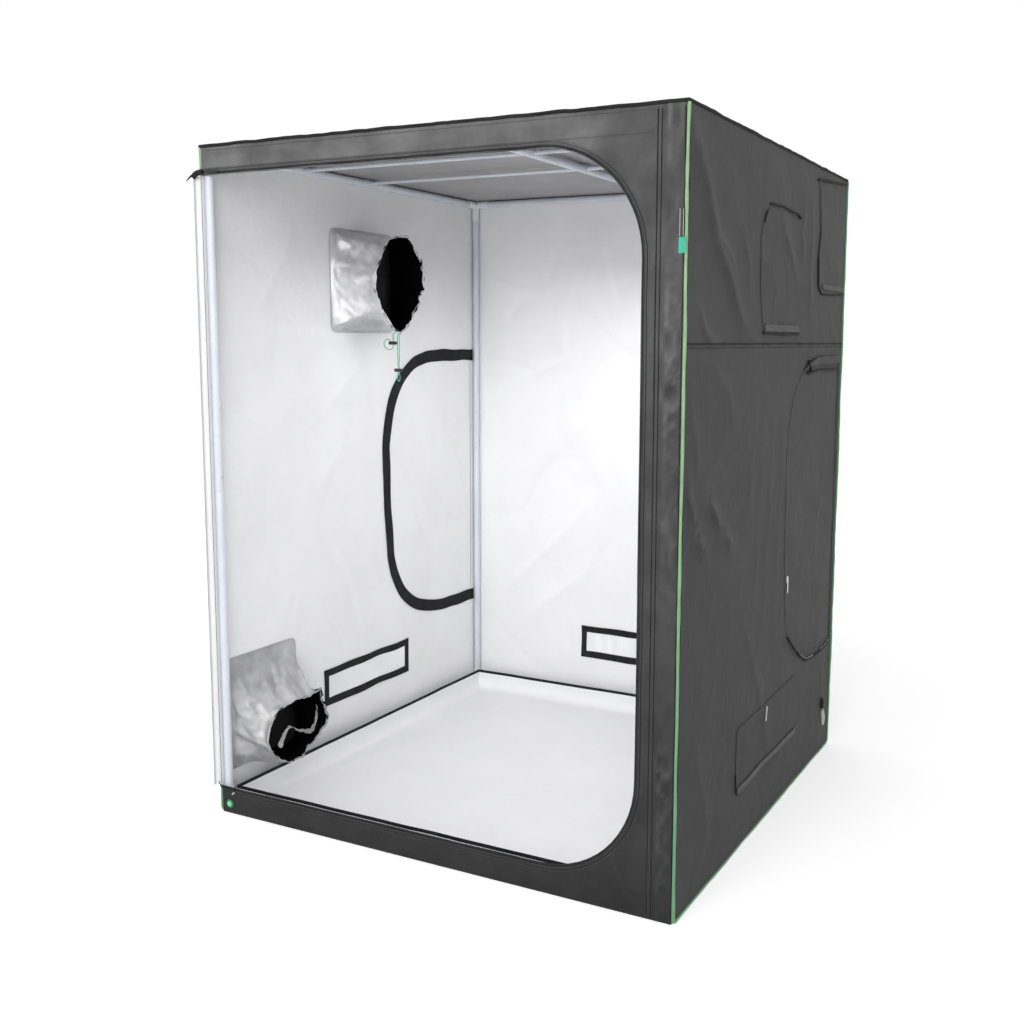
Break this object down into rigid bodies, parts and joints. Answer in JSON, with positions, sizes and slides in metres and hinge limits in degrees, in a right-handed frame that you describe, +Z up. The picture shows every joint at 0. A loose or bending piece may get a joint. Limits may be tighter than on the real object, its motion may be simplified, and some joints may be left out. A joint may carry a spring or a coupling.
{
  "type": "grow tent",
  "caption": "Square indoor grow tent: push-fit pole frame under a dark fabric shell with white lining, open side-hung door, duct socks, netted vents and floor tray.",
  "frame": {"origin": "centre of the tent's square footprint, on the underside of the groundsheet", "axes": "+Z up, the doorway faces -Y, +X towards the right-hand side wall"},
  "size_m": [1.556, 1.5181, 2.0033],
  "materials": {
    "shell_fabric": "matt coated canvas",
    "white_lining": "white coated lining with a soft sheen",
    "silver_foil": "crinkled silver foil lining",
    "white_pole": "white powder coat",
    "corner_fitting": "white moulded plastic",
    "button_steel": "plain steel",
    "vent_net": "fine pale net",
    "green_cord": "braided green cord",
    "lock_plastic": "black moulded plastic",
    "zip_plastic": "black zip slider"
  },
  "bodies": {
    "tent": {"post_front_left_lower": "white_pole", "post_front_left_upper": "white_pole", "corner_bottom_front_left": "corner_fitting", "corner_top_front_left": "corner_fitting", "post_back_left_lower": "white_pole", "post_back_left_upper": "white_pole", "corner_bottom_back_left": "corner_fitting", "corner_top_back_left": "corner_fitting", "post_front_right_lower": "white_pole", "post_front_right_upper": "white_pole", "corner_bottom_front_right": "corner_fitting", "corner_top_front_right": "corner_fitting", "post_back_right_lower": "white_pole", "post_back_right_upper": "white_pole", "corner_bottom_back_right": "corner_fitting", "corner_top_back_right": "corner_fitting", "top_rail_front": "white_pole", "top_rail_back": "white_pole", "top_rail_left": "white_pole", "top_rail_right": "white_pole", "bottom_rail_front": "white_pole", "bottom_rail_back": "white_pole", "bottom_rail_left": "white_pole", "bottom_rail_right": "white_pole", "centre_pole": "white_pole", "front_panel": "shell_fabric", "left_wall": "shell_fabric", "right_wall": "shell_fabric", "back_wall": "shell_fabric", "roof": "shell_fabric", "groundsheet": "shell_fabric", "door_hinge_tape": "shell_fabric", "floor_tray": "white_lining", "sock_left_upper": "silver_foil", "sock_left_lower": "silver_foil", "sock_right_front": "silver_foil", "sock_right_rear": "silver_foil", "vent_left": "vent_net", "vent_right": "vent_net", "vent_back": "vent_net", "drawcord_loop": "green_cord", "drawcord_tail": "green_cord"},
    "cross_bar_front": {"cross_bar_front": "white_pole"},
    "cross_bar_rear": {"cross_bar_rear": "white_pole"},
    "door": {"door": "white_lining"},
    "hatch_left": {"hatch_left": "white_lining"},
    "hatch_right": {"hatch_right": "shell_fabric"},
    "port_flap_front": {"port_flap_front": "shell_fabric"},
    "port_flap_rear": {"port_flap_rear": "shell_fabric"},
    "vent_flap_right": {"vent_flap_right": "shell_fabric"},
    "door_slider": {"door_slider": "zip_plastic"},
    "hatch_slider": {"hatch_slider": "zip_plastic"},
    "cord_lock_upper": {"cord_lock_upper": "lock_plastic"},
    "cord_lock_lower": {"cord_lock_lower": "lock_plastic"},
    "lock_plunger_upper": {"lock_plunger_upper": "lock_plastic"},
    "lock_plunger_lower": {"lock_plunger_lower": "lock_plastic"},
    "snap_button_front_left": {"snap_button_front_left": "button_steel"},
    "snap_button_back_left": {"snap_button_back_left": "button_steel"},
    "snap_button_front_right": {"snap_button_front_right": "button_steel"},
    "snap_button_back_right": {"snap_button_back_right": "button_steel"}
  },
  "joints": [
    {"name": "door_swing", "type": "hinge", "parent": "tent", "child": "door", "pos_m": [-0.764, -0.764, 1], "axis": [0, 0, 1], "range_deg": [0, 270]},
    {"name": "hatch_left_swing", "type": "hinge", "parent": "tent", "child": "hatch_left", "pos_m": [-0.7475, 0.706, 0.89], "axis": [0, 0, 1], "range_deg": [0, 90]},
    {"name": "hatch_right_swing", "type": "hinge", "parent": "tent", "child": "hatch_right", "pos_m": [0.7505, 0.706, 0.89], "axis": [0, 0, 1], "range_deg": [0, 150]},
    {"name": "port_flap_front_lift", "type": "hinge", "parent": "tent", "child": "port_flap_front", "pos_m": [0.7533, 0, 1.824], "axis": [0, -1, 0], "range_deg": [0, 150]},
    {"name": "port_flap_rear_lift", "type": "hinge", "parent": "tent", "child": "port_flap_rear", "pos_m": [0.7533, 0.555, 1.951], "axis": [0, -1, 0], "range_deg": [0, 150]},
    {"name": "vent_flap_lift", "type": "hinge", "parent": "tent", "child": "vent_flap_right", "pos_m": [0.7533, 0, 0.375], "axis": [0, -1, 0], "range_deg": [0, 150]},
    {"name": "cross_bar_front_slide", "type": "slide", "parent": "tent", "child": "cross_bar_front", "axis": [0, 1, 0], "range_m": [-0.33, 0.15]},
    {"name": "cross_bar_rear_slide", "type": "slide", "parent": "tent", "child": "cross_bar_rear", "axis": [0, 1, 0], "range_m": [-0.1, 0.6]},
    {"name": "door_slider_slide", "type": "slide", "parent": "tent", "child": "door_slider", "axis": [1, 0, 0], "range_m": [0, 1.05]},
    {"name": "hatch_slider_slide", "type": "slide", "parent": "hatch_right", "child": "hatch_slider", "axis": [0, 0, 1], "range_m": [-0.14, 0.48]},
    {"name": "cord_lock_upper_slide", "type": "slide", "parent": "tent", "child": "cord_lock_upper", "axis": [0, 0, 1], "range_m": [0, 0.016]},
    {"name": "cord_lock_lower_slide", "type": "slide", "parent": "tent", "child": "cord_lock_lower", "axis": [0, 0, 1], "range_m": [0, 0.07]},
    {"name": "lock_plunger_upper_press", "type": "slide", "parent": "cord_lock_upper", "child": "lock_plunger_upper", "axis": [1, 0, 0], "range_m": [-0.0025, 0], "stiffness_N_per_m": 80, "springref_m": 0.001},
    {"name": "lock_plunger_lower_press", "type": "slide", "parent": "cord_lock_lower", "child": "lock_plunger_lower", "axis": [1, 0, 0], "range_m": [-0.0025, 0], "stiffness_N_per_m": 80, "springref_m": 0.001},
    {"name": "snap_button_front_left_press", "type": "slide", "parent": "tent", "child": "snap_button_front_left", "axis": [1, 0, 0], "range_m": [-0.0025, 0], "stiffness_N_per_m": 200, "springref_m": 0.001},
    {"name": "snap_button_back_left_press", "type": "slide", "parent": "tent", "child": "snap_button_back_left", "axis": [1, 0, 0], "range_m": [-0.0025, 0], "stiffness_N_per_m": 200, "springref_m": 0.001},
    {"name": "snap_button_front_right_press", "type": "slide", "parent": "tent", "child": "snap_button_front_right", "axis": [-1, 0, 0], "range_m": [-0.0025, 0], "stiffness_N_per_m": 200, "springref_m": 0.001},
    {"name": "snap_button_back_right_press", "type": "slide", "parent": "tent", "child": "snap_button_back_right", "axis": [-1, 0, 0], "range_m": [-0.0025, 0], "stiffness_N_per_m": 200, "springref_m": 0.001}
  ]
}
